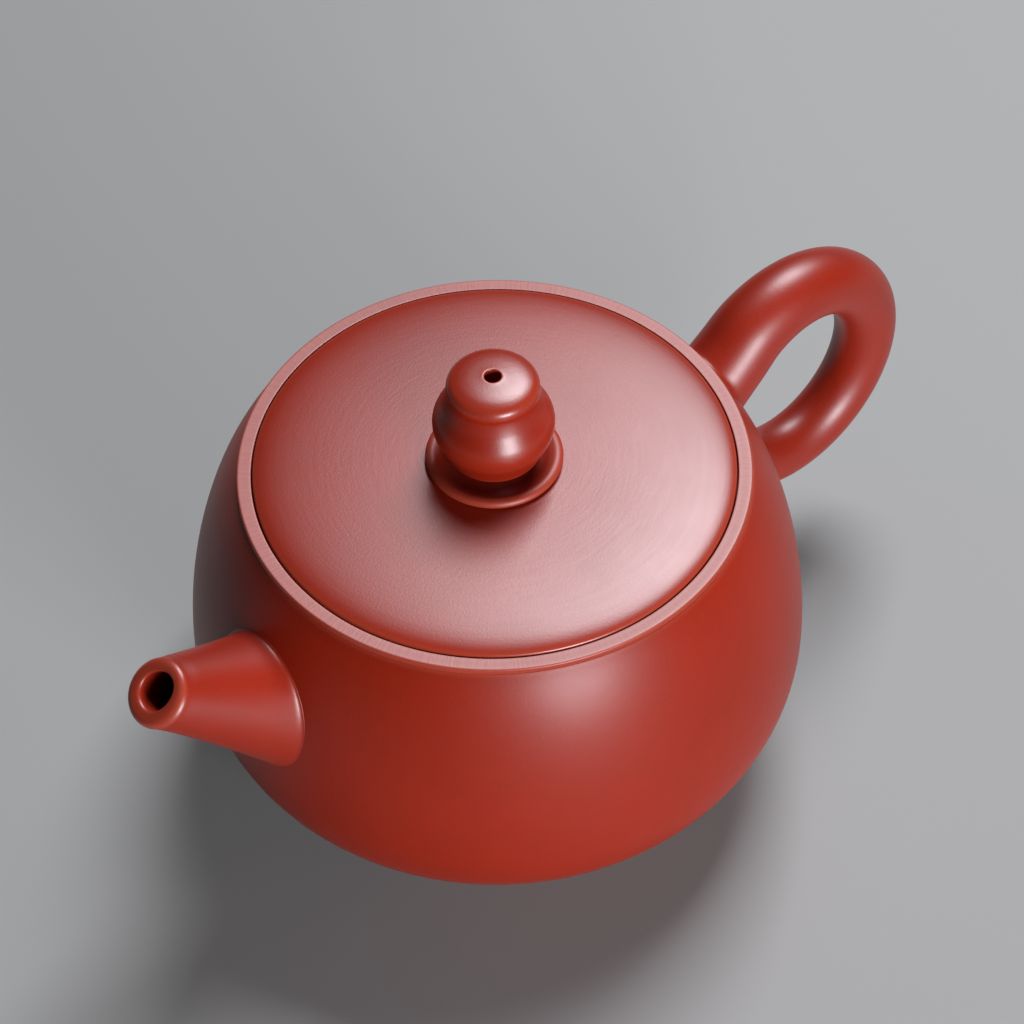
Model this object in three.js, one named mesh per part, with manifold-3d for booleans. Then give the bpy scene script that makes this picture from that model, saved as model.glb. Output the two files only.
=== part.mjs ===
// A round-bellied teapot of unglazed Yixing clay with an inset lid, in millimetres, +Z up.
// The spout points to -X, the handle is on +X, and the table is at z = 0.
// Each mesh is one piece of clay, as the potter makes it before the pieces are joined with slip.
import * as THREE from 'three';
import { mergeVertices } from 'three/addons/utils/BufferGeometryUtils.js';
import Module from 'manifold-3d';

const wasm = await Module();
wasm.setup();

// Driving dimensions.
const round_steps = 42; // facets round a turned piece
const joint_gap = 0.3; // space left for slip where a piece is cut to fit the belly
const lid_play = 0.3; // all round between lid and pot

const rim_height = 56; // top of the mouth ring above the table
const rim_radius = 36.5;
const rim_width = 2.05;
const rim_thickness = 0.9;
const rim_rounding = 0.3;

const belly_radius = 45;
const belly_height = 23.4;
const wall_thickness = 3;

const foot_height = 2.1;
const foot_radius = 27.4;
const foot_width = 3.2;
const base_radius = 27.95;

const seat_radius = 29.9; // mouth opening through the seat ledge
const ledge_thickness = 2.4;
const lid_thickness = 2.9; // at the lid's edge
const lid_dome = 1.6; // rise of the lid's middle over the rim
const lid_edge_rise = 0.33; // of its rounded edge over the rim
const lid_rounding = 0.45;
const flange_depth = 6.5;
const flange_width = 2.3;

const vent_radius = 1.2;
const dish_radius = 9.75;
const dish_height = 1.5;
const knob_height = 17.2; // from the lid's top to the knob's top
const knob_radius = 8.6;
const cap_radius = 6.55;
const knob_seat = 0.6; // how far the dish's floor and the knob's stem stand over the lid
const stem_radius = 4.6; // between the dish and the cut underside of the bulb

const spout_angle = THREE.MathUtils.degToRad(39.3); // above the horizontal
const spout_drop = 18.85; // rim to the start of the spout's axis at the inner wall
const spout_length = 24.4; // from the inner wall to the tip, along its middle
const spout_root_radius = 9.9;
const spout_waist = 7; // pulls the taper in between root and tip
const spout_tip_radius = 4.9;
const spout_lip_rounding = 1.1;
const spout_bore_root = 7;
const spout_bore_tip = 2.7;
const spout_bore_run = 4; // straight stretch of the bore at the root and at the tip
const spout_mouth_lean = THREE.MathUtils.degToRad(11); // how far its mouth is cut back towards level
const spout_bore_rise = 0.5; // how far the bore's end lies above the middle of the tip

const strainer_rise = 3.4;
const strainer_shell = 1.3;
const strainer_collar = 1; // half the height of its straight edge
const strainer_hole = 0.6;
const strainer_rows = [[1, 0], [6, 2.5], [10, 4.6]]; // number of holes and the radius they stand on

const handle_reach = 56.9; // pot axis to the middle of the handle's ring
const handle_drop = 20; // rim to the middle of the handle's ring
const handle_half_width = 15.9;
const handle_half_height = 17.4;
const handle_tilt = THREE.MathUtils.degToRad(12.6);
const handle_root_radius = 6.15;
const handle_tail_radius = 4.6;
const handle_waist = 4.1; // pulls the section in between the two roots
const handle_start = THREE.MathUtils.degToRad(126); // round the ring, where it leaves the shoulder
const handle_end = THREE.MathUtils.degToRad(-143); // and where it meets the belly again
const upper_root = [38.5, rim_height - 13.5]; // reach and height of its two ends, inside the wall
const lower_root = [40.5, rim_height - 29.5];

// Heights that follow from the driving dimensions.
const mouth_radius = rim_radius - rim_width;
const ring_base = rim_height - rim_thickness;
const seat_height = rim_height - lid_thickness;
const wall_top = seat_height - ledge_thickness;
const floor_top = foot_height + wall_thickness;
const lid_radius = mouth_radius - lid_play;
const lid_top = rim_height + lid_dome;
const flange_radius = seat_radius - lid_play;

const clay = { color: '#8f2a17', roughness: 0.42, metalness: 0 };

// The belly's outline as radius and height, from the base up to the mouth ring.
const lower_belly = new THREE.CubicBezierCurve(
  new THREE.Vector2(base_radius, foot_height),
  new THREE.Vector2(36.8, foot_height + 5.5),
  new THREE.Vector2(belly_radius, belly_height - 11.8),
  new THREE.Vector2(belly_radius, belly_height),
);
const upper_belly = new THREE.CubicBezierCurve(
  new THREE.Vector2(belly_radius, belly_height),
  new THREE.Vector2(belly_radius, belly_height + 11.3),
  new THREE.Vector2(41.6, rim_height - 7.6),
  new THREE.Vector2(rim_radius, ring_base),
);
const outer_line = [...lower_belly.getPoints(60), ...upper_belly.getPoints(60).slice(1)];
const inner_line = moveAlongNormal(outer_line, -wall_thickness);

// Moves each point of an upward outline outwards by a distance, square to the line.
function moveAlongNormal(line, distance) {
  return line.map((point, i) => {
    const before = line[Math.max(i - 1, 0)];
    const after = line[Math.min(i + 1, line.length - 1)];
    const along = after.clone().sub(before).normalize();
    return new THREE.Vector2(point.x + along.y * distance, point.y - along.x * distance);
  });
}

// Radius of an outline at a height.
function radiusAt(line, height) {
  const i = Math.max(1, line.findIndex((point) => point.y >= height));
  const low = line[i - 1];
  const high = line[i];
  return THREE.MathUtils.mapLinear(height, low.y, high.y, low.x, high.x);
}

// Points of an outline between two heights, with both ends on those heights.
function stretch(line, low, high, steps) {
  return Array.from({ length: steps + 1 }, (_, i) => {
    const height = THREE.MathUtils.lerp(low, high, i / steps);
    return new THREE.Vector2(radiusAt(line, height), height);
  });
}

// A quarter or other arc of a rounded edge, angles in degrees from the outward direction.
function arc(x, y, radius, from, to, steps = 3) {
  const curve = new THREE.EllipseCurve(
    x, y, radius, radius, THREE.MathUtils.degToRad(from), THREE.MathUtils.degToRad(to), to < from,
  );
  return curve.getPoints(steps);
}

function points(...pairs) {
  return pairs.map(([x, y]) => new THREE.Vector2(x, y));
}

// A turned piece about Z. The outline runs up the outside and down the inside.
function turned(outline, steps = round_steps) {
  const closed = outline[0].x > 0 ? [...outline, outline[0]] : outline;
  return new THREE.LatheGeometry(closed, steps).rotateX(Math.PI / 2);
}

// The welded solid of a geometry, for cutting and joining.
function solid(geometry) {
  const bare = geometry.clone();
  bare.deleteAttribute('normal');
  bare.deleteAttribute('uv');
  const welded = mergeVertices(bare, 1e-3);
  return new wasm.Manifold(new wasm.Mesh({
    numProp: 3,
    vertProperties: welded.attributes.position.array,
    triVerts: new Uint32Array(welded.index.array),
  }));
}

function geometryOf(cut) {
  const mesh = cut.getMesh();
  const geometry = new THREE.BufferGeometry();
  geometry.setAttribute('position', new THREE.BufferAttribute(mesh.vertProperties, 3));
  geometry.setIndex(new THREE.BufferAttribute(mesh.triVerts, 1));
  geometry.computeVertexNormals();
  return geometry;
}

// Turns a piece made along +Z onto the spout's slope, starting at the inner wall.
function ontoSpout(geometry) {
  const start_height = rim_height - spout_drop;
  const start_reach = radiusAt(inner_line, start_height);
  return geometry
    .rotateY(spout_angle - Math.PI / 2)
    .translate(-start_reach, 0, start_height);
}

// The way cut through the wall into the spout.
function spoutWay() {
  const radius = spout_bore_root;
  return ontoSpout(turned(points([0, -8], [radius, -8], [radius, 6], [0, 6]), 24));
}

// All that the belly fills, grown by the gap, so that what is joined to it can be cut to fit.
function bellyBlank() {
  const grown = moveAlongNormal(outer_line, joint_gap);
  const low = 5;
  const side = stretch(grown, low, ring_base - 0.5, 24);
  return turned([new THREE.Vector2(0, low), ...side, new THREE.Vector2(0, ring_base - 0.5)]);
}

function bodyWall() {
  const outside = stretch(outer_line, floor_top, wall_top, 14);
  const inside = stretch(inner_line, floor_top, wall_top, 10).reverse();
  const band = solid(turned([...outside, ...inside]));
  return geometryOf(band.subtract(solid(spoutWay())));
}

function baseDisc() {
  const edge = stretch(outer_line, foot_height, floor_top, 3);
  return turned([new THREE.Vector2(0, foot_height), ...edge, new THREE.Vector2(0, floor_top)]);
}

function footRing() {
  const inner = foot_radius - foot_width;
  const edge = 0.6;
  return turned([
    new THREE.Vector2(inner, edge),
    new THREE.Vector2(inner + edge, 0),
    new THREE.Vector2(foot_radius - edge, 0),
    new THREE.Vector2(foot_radius, edge),
    new THREE.Vector2(foot_radius, foot_height),
    new THREE.Vector2(inner, foot_height),
  ]);
}

// The shoulder disc after its mouth is cut: a ledge that the lid lies on, and the wall round it.
function seatRing() {
  const outside = stretch(outer_line, wall_top, ring_base, 4);
  return turned([
    new THREE.Vector2(seat_radius, wall_top),
    ...outside,
    new THREE.Vector2(mouth_radius, ring_base),
    new THREE.Vector2(mouth_radius, seat_height),
    new THREE.Vector2(seat_radius, seat_height),
  ]);
}

function mouthRing() {
  const edge = arc(rim_radius - rim_rounding, rim_height - rim_rounding, rim_rounding, 0, 90);
  return turned([
    new THREE.Vector2(mouth_radius, ring_base),
    new THREE.Vector2(rim_radius, ring_base),
    ...edge,
    new THREE.Vector2(mouth_radius + 0.3, rim_height),
    new THREE.Vector2(mouth_radius, rim_height - 0.3),
  ]);
}

// Leans the mouth of a spout made along +Z towards +X, its upper side, and moves the bore's end there.
function leanMouth(tube) {
  const position = tube.getAttribute('position');
  const start = spout_length - spout_bore_run;
  for (let i = 0; i < position.count; i += 1) {
    const [x, y, z] = [position.getX(i), position.getY(i), position.getZ(i)];
    const share = Math.max(0, (z - start) / spout_bore_run);
    const reach = Math.hypot(x, y);
    const inward = THREE.MathUtils.mapLinear(reach, spout_tip_radius, spout_bore_tip, 0, 1);
    position.setX(i, x + share * Math.max(0, inward) * spout_bore_rise);
    position.setZ(i, z - share * x * Math.tan(spout_mouth_lean));
  }
  return tube;
}

function spout() {
  const taper = new THREE.QuadraticBezierCurve(
    new THREE.Vector2(spout_root_radius, 0),
    new THREE.Vector2(spout_waist, spout_length * 0.45),
    new THREE.Vector2(spout_tip_radius, spout_length - 1.5),
  );
  const rounding = spout_lip_rounding;
  const lip = arc(spout_tip_radius - rounding, spout_length - rounding, rounding, 0, 180, 6);
  const tube = turned([
    ...taper.getPoints(8),
    ...lip,
    new THREE.Vector2(spout_bore_tip, spout_length - spout_bore_run),
    new THREE.Vector2(spout_bore_root, spout_bore_run),
    new THREE.Vector2(spout_bore_root, 0),
  ], 32);
  return geometryOf(solid(ontoSpout(leanMouth(tube))).subtract(solid(bellyBlank())));
}

// A thin pierced dome that plugs the way into the spout and bulges into the pot.
function strainer() {
  const radius = spout_bore_root - joint_gap;
  const bulge = (wide, rise) => Array.from({ length: 5 }, (_, i) => {
    const turn = (i / 4) * (Math.PI / 2);
    return new THREE.Vector2(wide * Math.sin(turn), -strainer_collar - rise * Math.cos(turn));
  });
  const blank = new THREE.LatheGeometry([
    ...bulge(radius, strainer_rise),
    new THREE.Vector2(radius, strainer_collar),
    new THREE.Vector2(radius - strainer_shell, strainer_collar),
    ...bulge(radius - strainer_shell, strainer_rise - strainer_shell).reverse(),
  ], 24).rotateX(Math.PI / 2);
  const pin_length = 8;
  let plate = solid(blank);
  for (const [count, reach] of strainer_rows) {
    for (let i = 0; i < count; i += 1) {
      const turn = (i / count) * 2 * Math.PI;
      const pin = new THREE.CylinderGeometry(strainer_hole, strainer_hole, pin_length, 6);
      pin.rotateX(Math.PI / 2).translate(reach * Math.cos(turn), reach * Math.sin(turn), -2);
      plate = plate.subtract(solid(pin));
    }
  }
  return ontoSpout(geometryOf(plate));
}

// Where the middle of the handle's roll lies, at an angle round its ring.
function handlePoint(angle) {
  const wide = handle_half_width * Math.cos(angle);
  const tall = handle_half_height * Math.sin(angle);
  return new THREE.Vector3(
    handle_reach + wide * Math.cos(handle_tilt) - tall * Math.sin(handle_tilt),
    0,
    rim_height - handle_drop + wide * Math.sin(handle_tilt) + tall * Math.cos(handle_tilt),
  );
}

function handle() {
  const ring = Array.from({ length: 15 }, (_, i) => (
    handlePoint(THREE.MathUtils.lerp(handle_start, handle_end, i / 14))
  ));
  const [first, last] = [upper_root, lower_root].map(([reach, height]) => (
    new THREE.Vector3(reach, 0, height)
  ));
  const path = new THREE.CatmullRomCurve3([first, ...ring, last], false, 'centripetal');
  const section = new THREE.Shape().absarc(0, 0, 1, 0, 2 * Math.PI);
  const steps = 36;
  const roll = new THREE.ExtrudeGeometry(section, { steps, curveSegments: 10, extrudePath: path });
  thicken(roll, path, steps);
  return geometryOf(solid(roll).subtract(solid(bellyBlank())));
}

// Widens a roll of radius 1 to the handle's own radius at each step of its path.
function thicken(roll, path, steps) {
  const middles = path.getSpacedPoints(steps);
  const position = roll.getAttribute('position');
  const corner = new THREE.Vector3();
  for (let i = 0; i < position.count; i += 1) {
    corner.fromBufferAttribute(position, i);
    const away = middles.map((middle) => middle.distanceTo(corner));
    const nearest = away.indexOf(Math.min(...away));
    const along = nearest / steps;
    const radius = handle_root_radius * (1 - along) ** 2
      + 2 * handle_waist * along * (1 - along)
      + handle_tail_radius * along ** 2;
    corner.sub(middles[nearest]).multiplyScalar(radius).add(middles[nearest]);
    position.setXYZ(i, corner.x, corner.y, corner.z);
  }
}

function lidPlate() {
  const edge_top = rim_height + lid_edge_rise;
  const edge = arc(lid_radius - lid_rounding, edge_top - lid_rounding, lid_rounding, 0, 72);
  const crown = new THREE.CubicBezierCurve(
    edge[edge.length - 1],
    new THREE.Vector2(lid_radius - 1.55, rim_height + 0.75),
    new THREE.Vector2(29, lid_top),
    new THREE.Vector2(dish_radius - 0.9, lid_top),
  );
  return turned([
    new THREE.Vector2(vent_radius, seat_height),
    new THREE.Vector2(lid_radius, seat_height),
    ...edge,
    ...crown.getPoints(7).slice(1),
    new THREE.Vector2(vent_radius, lid_top),
  ]);
}

function lidFlange() {
  const inner = flange_radius - flange_width;
  const low = seat_height - flange_depth;
  return turned(points(
    [inner, low + 0.5],
    [inner + 0.5, low],
    [flange_radius - 0.8, low],
    [flange_radius - 0.2, low + 0.8],
    [flange_radius, seat_height],
    [inner, seat_height],
  ));
}

// Points of a smooth line through pairs of radius and height, raised to stand on the lid.
function onLid(steps, ...pairs) {
  const raised = pairs.map(([x, y]) => [x, lid_top + y]);
  return new THREE.SplineCurve(points(...raised)).getPoints(steps);
}

// The small saucer under the knob.
function knobDish() {
  const lip = onLid(
    12,
    [dish_radius - 0.85, 0],
    [dish_radius - 0.15, 0.35],
    [dish_radius, 0.8],
    [dish_radius - 0.2, dish_height - 0.25],
    [dish_radius - 0.75, dish_height],
    [dish_radius - 1.5, dish_height - 0.2],
    [dish_radius - 2.6, dish_height - 0.65],
    [dish_radius - 3.75, knob_seat],
  );
  return turned([
    new THREE.Vector2(vent_radius, lid_top),
    ...lip,
    new THREE.Vector2(vent_radius, lid_top + knob_seat),
  ], 40);
}

// Bulb with a cut underside on a short stem, tapering up to a slight waist and a domed cap.
function knob() {
  const foot = lid_top + knob_seat;
  const underside = lid_top + 2.4;
  const side = onLid(
    20,
    [knob_radius - 1.85, 3.2],
    [knob_radius - 0.85, 5],
    [knob_radius - 0.15, 6.8],
    [knob_radius, 8.2],
    [knob_radius - 0.3, 9.6],
    [knob_radius - 1.55, 12.1],
    [cap_radius - 0.07, 14.2],
    [cap_radius, knob_height - 2.2],
    [cap_radius - 0.15, knob_height - 1.45],
    [cap_radius - 0.6, knob_height - 0.9],
    [cap_radius - 1.45, knob_height - 0.5],
    [cap_radius - 2.75, knob_height - 0.22],
    [vent_radius + 0.2, knob_height],
  );
  return turned([
    ...points([vent_radius, foot], [stem_radius, foot], [stem_radius, underside]),
    ...side,
    new THREE.Vector2(vent_radius, lid_top + knob_height - 0.2),
  ], 32);
}

const pieces = {
  body_wall: bodyWall(),
  base_disc: baseDisc(),
  foot_ring: footRing(),
  seat_ring: seatRing(),
  mouth_ring: mouthRing(),
  spout: spout(),
  strainer: strainer(),
  handle: handle(),
  lid_plate: lidPlate(),
  lid_flange: lidFlange(),
  knob_dish: knobDish(),
  knob: knob(),
};

const teapot = new THREE.Group();
for (const [name, geometry] of Object.entries(pieces)) {
  const mesh = new THREE.Mesh(geometry, new THREE.MeshStandardMaterial(clay));
  mesh.name = name;
  teapot.add(mesh);
}

// The origin is under the middle of the whole outline, so the pot's axis stands a little off it.
const outline = new THREE.Box3().setFromObject(teapot);
teapot.position.x = -(outline.min.x + outline.max.x) / 2;

export default teapot;
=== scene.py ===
"""A round-bellied Yixing clay teapot with an inset lid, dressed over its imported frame.

Sizes in the classes are millimetres, radius and height, measured from the pot's own axis.
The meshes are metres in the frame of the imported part.
"""

import logging
import math
from collections.abc import Callable, Iterable, Sequence
from dataclasses import dataclass, field
from enum import Enum
from functools import partial

import bmesh
import bpy
import numpy as np
from mathutils import Matrix, Vector


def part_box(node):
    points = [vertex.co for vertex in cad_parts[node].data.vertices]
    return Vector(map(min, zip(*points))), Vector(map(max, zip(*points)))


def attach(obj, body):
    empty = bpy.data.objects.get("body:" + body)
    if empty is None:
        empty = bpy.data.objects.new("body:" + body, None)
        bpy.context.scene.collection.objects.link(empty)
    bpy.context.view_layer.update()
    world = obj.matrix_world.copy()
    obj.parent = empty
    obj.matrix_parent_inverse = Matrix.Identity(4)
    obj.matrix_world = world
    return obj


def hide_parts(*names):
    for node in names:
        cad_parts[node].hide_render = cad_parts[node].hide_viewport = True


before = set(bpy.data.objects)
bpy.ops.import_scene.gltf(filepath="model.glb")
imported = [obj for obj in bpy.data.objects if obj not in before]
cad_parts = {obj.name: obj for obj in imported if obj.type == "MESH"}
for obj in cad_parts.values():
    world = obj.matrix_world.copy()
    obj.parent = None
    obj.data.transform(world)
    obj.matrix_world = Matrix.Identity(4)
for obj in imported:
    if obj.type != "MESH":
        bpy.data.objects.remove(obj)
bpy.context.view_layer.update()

log = logging.getLogger("teapot")

MM = 0.001
FULL_TURN = 2 * math.pi

Point = tuple[float, float]
Piece = tuple[bpy.types.Object, str]
Adder = Callable[..., bpy.types.Node]

MATH = "ShaderNodeMath"
VECTOR_MATH = "ShaderNodeVectorMath"
SPLIT = "ShaderNodeSeparateXYZ"
COMBINE = "ShaderNodeCombineXYZ"
MAP_RANGE = "ShaderNodeMapRange"
NOISE = "ShaderNodeTexNoise"
BUMP = "ShaderNodeBump"


# ---------------------------------------------------------------------------------------------
# Shared tools
# ---------------------------------------------------------------------------------------------


def srgb(code: str) -> tuple[float, float, float, float]:
    """Turns an sRGB hex colour to the linear colour that shaders take.

    Args:
        code: Colour such as "9c2b18".

    Returns:
        Linear red, green, blue and an alpha of 1.
    """
    parts = [int(code[i : i + 2], 16) / 255 for i in (0, 2, 4)]
    linear = [p / 12.92 if p <= 0.04045 else ((p + 0.055) / 1.055) ** 2.4 for p in parts]
    return (*linear, 1.0)


def direction(azimuth: float, elevation: float) -> Vector:
    """Points away from the pot, as a camera or lamp stands.

    Args:
        azimuth: Degrees round from the front.
        elevation: Degrees up.

    Returns:
        A vector of length 1.
    """
    turn, rise = math.radians(azimuth), math.radians(elevation)
    return Vector((math.sin(turn) * math.cos(rise), -math.cos(turn) * math.cos(rise), math.sin(rise)))


def add_node(
    tree: bpy.types.NodeTree,
    kind: str,
    settings: dict[str, object] | None = None,
    inputs: dict[str | int, object] | None = None,
) -> bpy.types.Node:
    """Adds a node to a tree, with its settings, its values and its links.

    Args:
        tree: Shader or geometry tree that the node joins.
        kind: Blender's identifier of the node.
        settings: Properties to set on the node.
        inputs: A value, a socket, or a node for its first output, for each named or numbered input.

    Returns:
        The new node.
    """
    node = tree.nodes.new(kind)
    for name, value in (settings or {}).items():
        setattr(node, name, value)
    for key, value in (inputs or {}).items():
        source = value.outputs[0] if isinstance(value, bpy.types.Node) else value
        if isinstance(source, bpy.types.NodeSocket):
            tree.links.new(source, node.inputs[key])
        else:
            node.inputs[key].default_value = source
    return node


def mesh_object(
    name: str,
    vertices: Iterable[Sequence[float]],
    faces: Iterable[Sequence[int]],
    edges: Iterable[Sequence[int]] = (),
) -> bpy.types.Object:
    """Makes a mesh object at the origin from vertices in metres and links it to the scene.

    Args:
        name: Name of the object and its mesh.
        vertices: Corner points.
        faces: Corner numbers of each face.
        edges: Corner numbers of each loose edge.

    Returns:
        The new object, shaded smooth.
    """
    mesh = bpy.data.meshes.new(name)
    mesh.from_pydata([tuple(v) for v in vertices], [tuple(e) for e in edges], [tuple(f) for f in faces])
    mesh.polygons.foreach_set("use_smooth", [True] * len(mesh.polygons))
    mesh.update()
    piece = bpy.data.objects.new(name, mesh)
    bpy.context.scene.collection.objects.link(piece)
    return piece


def bake_modifiers(piece: bpy.types.Object) -> None:
    """Replaces a piece's mesh by its evaluated mesh and removes its modifiers.

    Args:
        piece: Piece to bake.
    """
    bpy.context.view_layer.update()
    evaluated = piece.evaluated_get(bpy.context.evaluated_depsgraph_get())
    mesh = bpy.data.meshes.new_from_object(evaluated)
    mesh.name = piece.name
    piece.modifiers.clear()
    piece.data = mesh


def along(line: np.ndarray, distances: np.ndarray) -> np.ndarray:
    """Points of a line at distances from its start."""
    run = np.concatenate([[0], np.cumsum(np.linalg.norm(np.diff(line, axis=0), axis=1))])
    return np.stack([np.interp(distances, run, line[:, k]) for k in range(line.shape[1])], axis=1)


def spline(knots: Sequence[Point], steps: int) -> list[Point]:
    """Runs a smooth line through knots, evenly eased whatever their distances.

    Args:
        knots: Points to pass through.
        steps: Steps between two knots.

    Returns:
        The points of the line, the first and last knot included.
    """
    line = np.array(knots, float)
    line = np.vstack([2 * line[0] - line[1], line, 2 * line[-1] - line[-2]])
    result = [line[1]]
    for p0, p1, p2, p3 in zip(line, line[1:], line[2:], line[3:]):
        gap_0, gap_1, gap_2 = (math.sqrt(np.linalg.norm(b - a)) for a, b in ((p0, p1), (p1, p2), (p2, p3)))
        leave = gap_1 * ((p1 - p0) / gap_0 - (p2 - p0) / (gap_0 + gap_1) + (p2 - p1) / gap_1)
        arrive = gap_1 * ((p2 - p1) / gap_1 - (p3 - p1) / (gap_1 + gap_2) + (p3 - p2) / gap_2)
        for t in np.linspace(0, 1, steps + 1)[1:]:
            weights = (2 * t**3 - 3 * t**2 + 1, t**3 - 2 * t**2 + t, 3 * t**2 - 2 * t**3, t**3 - t**2)
            result.append(weights[0] * p1 + weights[1] * leave + weights[2] * p2 + weights[3] * arrive)
    return [(float(a), float(b)) for a, b in result]


def write_rub(piece: bpy.types.Object, values: Sequence[float]) -> None:
    """Stores how much each point of a piece is rubbed by hands, 0 to 1, for its finish to read."""
    layer = piece.data.attributes.new("rub", "FLOAT", "POINT")
    layer.data.foreach_set("value", np.asarray(values, np.float32))


@dataclass(frozen=True)
class PotFrame:
    """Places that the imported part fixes, in millimetres."""

    axis: float
    foot_height: float
    floor_top: float
    wall_top: float
    seat_height: float
    ring_base: float
    rim_height: float
    lid_top: float

    @classmethod
    def from_cad(cls) -> "PotFrame":
        """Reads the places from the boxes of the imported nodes.

        Returns:
            The places.
        """
        low_lid, high_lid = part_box("lid_plate")
        low_ring, high_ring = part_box("mouth_ring")
        low_base, high_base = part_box("base_disc")
        low_seat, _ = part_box("seat_ring")
        return cls(
            axis=(low_lid.x + high_lid.x) / 2 / MM,
            foot_height=low_base.z / MM,
            floor_top=high_base.z / MM,
            wall_top=low_seat.z / MM,
            seat_height=low_lid.z / MM,
            ring_base=low_ring.z / MM,
            rim_height=high_ring.z / MM,
            lid_top=high_lid.z / MM,
        )

    def place(self, x: float, y: float, z: float) -> tuple[float, float, float]:
        """Turns millimetres from the pot's axis to metres in the frame."""
        return ((x + self.axis) * MM, y * MM, z * MM)


# ---------------------------------------------------------------------------------------------
# Outlines and the turning wheel
# ---------------------------------------------------------------------------------------------


@dataclass
class Outline:
    """Radius and height points of a turned piece, up its outside and down its inside."""

    points: list[Point] = field(default_factory=list)
    spacing: float = 0.5
    knot_steps: int = 10
    rub_window: float = 0.7  # length of outline on each side that tells how sharp an edge is
    same_point: float = 1e-4

    def start(self, radius: float, height: float) -> "Outline":
        """Sets the first point."""
        self.points = [(radius, height)]
        return self

    def line(self, radius: float, height: float) -> "Outline":
        """Adds a straight stretch, in steps of about the outline's spacing.

        Args:
            radius: Radius of its end.
            height: Height of its end.

        Returns:
            The outline, for the next stretch.
        """
        r0, z0 = self.points[-1]
        steps = max(1, round(math.hypot(radius - r0, height - z0) / self.spacing))
        for i in range(1, steps + 1):
            t = i / steps
            self.points.append((r0 + (radius - r0) * t, z0 + (height - z0) * t))
        return self

    def curve(self, first: Point, second: Point, end: Point, steps: int) -> "Outline":
        """Adds a cubic Bezier stretch from the last point.

        Args:
            first: Handle of its start.
            second: Handle of its end.
            end: Its end.
            steps: Number of steps.

        Returns:
            The outline, for the next stretch.
        """
        corners = (self.points[-1], first, second, end)
        for i in range(1, steps + 1):
            t = i / steps
            weights = ((1 - t) ** 3, 3 * t * (1 - t) ** 2, 3 * t * t * (1 - t), t**3)
            radius, height = (sum(w * c[k] for w, c in zip(weights, corners)) for k in (0, 1))
            self.points.append((radius, height))
        return self

    def arc(self, centre: Point, radius: float, start: float, end: float, steps: int) -> "Outline":
        """Adds a rounded edge.

        Args:
            centre: Radius and height of the arc's centre.
            radius: Radius of the rounding.
            start: Angle of its first point, in degrees from the outward direction.
            end: Angle of its last point.
            steps: Number of steps.

        Returns:
            The outline, for the next stretch.
        """
        for i in range(steps + 1):
            angle = math.radians(start + (end - start) * i / steps)
            point = (centre[0] + radius * math.cos(angle), centre[1] + radius * math.sin(angle))
            if not self.points or math.dist(point, self.points[-1]) > self.same_point:
                self.points.append(point)
        return self

    def through(self, *knots: Point) -> "Outline":
        """Runs a smooth line from the last point through knots."""
        self.points += spline([self.points[-1], *knots], self.knot_steps)[1:]
        return self

    def close(self) -> "Outline":
        """Runs straight back to the first point."""
        return self.line(*self.points[0])

    def radius_at(self, height: float | np.ndarray) -> float | np.ndarray:
        """Radius of an upward outline at a height, or at each of many."""
        radii, heights = np.array(self.points).T
        return np.interp(height, heights, radii)

    def inset(self, distance: float) -> "Outline":
        """Moves an upward outline inwards by a wall's thickness, square to itself.

        Args:
            distance: Thickness of the wall.

        Returns:
            The inner outline.
        """
        line = np.array(self.points)
        step = np.gradient(line, axis=0)
        step /= np.linalg.norm(step, axis=1)[:, None]
        moved = line + distance * np.stack([-step[:, 1], step[:, 0]], axis=1)
        return Outline([(float(r), float(z)) for r, z in moved])

    def rub(self) -> list[float]:
        """Tells how sharply the outline turns outwards, which is where hands rub it.

        Returns:
            A value from 0 to 1 for each point.
        """
        line = np.array(self.points)
        run = np.concatenate([[0], np.cumsum(np.linalg.norm(np.diff(line, axis=0), axis=1))])
        before = line - along(line, run - self.rub_window)
        after = along(line, run + self.rub_window) - line
        turn = before[:, 0] * after[:, 1] - before[:, 1] * after[:, 0]
        return np.clip(turn / self.rub_window**2, 0, 1).tolist()


class ShapingTree:
    """A geometry tree that shapes a piece by named inputs and gives it its clay."""

    def __init__(self, name: str, shape: str, sizes: dict[str, str]) -> None:
        """Starts the tree.

        Args:
            name: Name of the tree.
            shape: Name of the input for the piece's own mesh.
            sizes: Kind of socket, such as Float, by the name of each size.
        """
        self.tree = bpy.data.node_groups.new(name, "GeometryNodeTree")
        self.tree.is_modifier = True
        self.sockets: dict[str, str] = {}
        face = self.tree.interface
        for label, kind in {shape: "Geometry", **sizes, "Clay": "Material"}.items():
            socket = face.new_socket(label, in_out="INPUT", socket_type=f"NodeSocket{kind}")
            self.sockets[label] = socket.identifier
        face.new_socket("Piece", in_out="OUTPUT", socket_type="NodeSocketGeometry")
        self.add: Adder = partial(add_node, self.tree)
        self.given = self.add("NodeGroupInput").outputs

    def finish(self, shape: bpy.types.Node) -> None:
        """Ends the tree.

        Args:
            shape: Node that gives the shape.
        """
        real = self.add("GeometryNodeRealizeInstances", inputs={"Geometry": shape})
        clay = {"Geometry": real, "Material": self.given["Clay"]}
        dressed = self.add("GeometryNodeSetMaterial", inputs=clay)
        self.add("NodeGroupOutput", inputs={"Piece": dressed})

    def shape(self, piece: bpy.types.Object, values: dict[str, object]) -> None:
        """Runs the tree on a piece, which is a plain mesh again afterwards.

        Args:
            piece: Piece to shape.
            values: Value of each input but the piece's own mesh.
        """
        modifier = piece.modifiers.new(self.tree.name, "NODES")
        modifier.node_group = self.tree
        for label, value in values.items():
            modifier[self.sockets[label]] = value
        bake_modifiers(piece)


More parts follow.
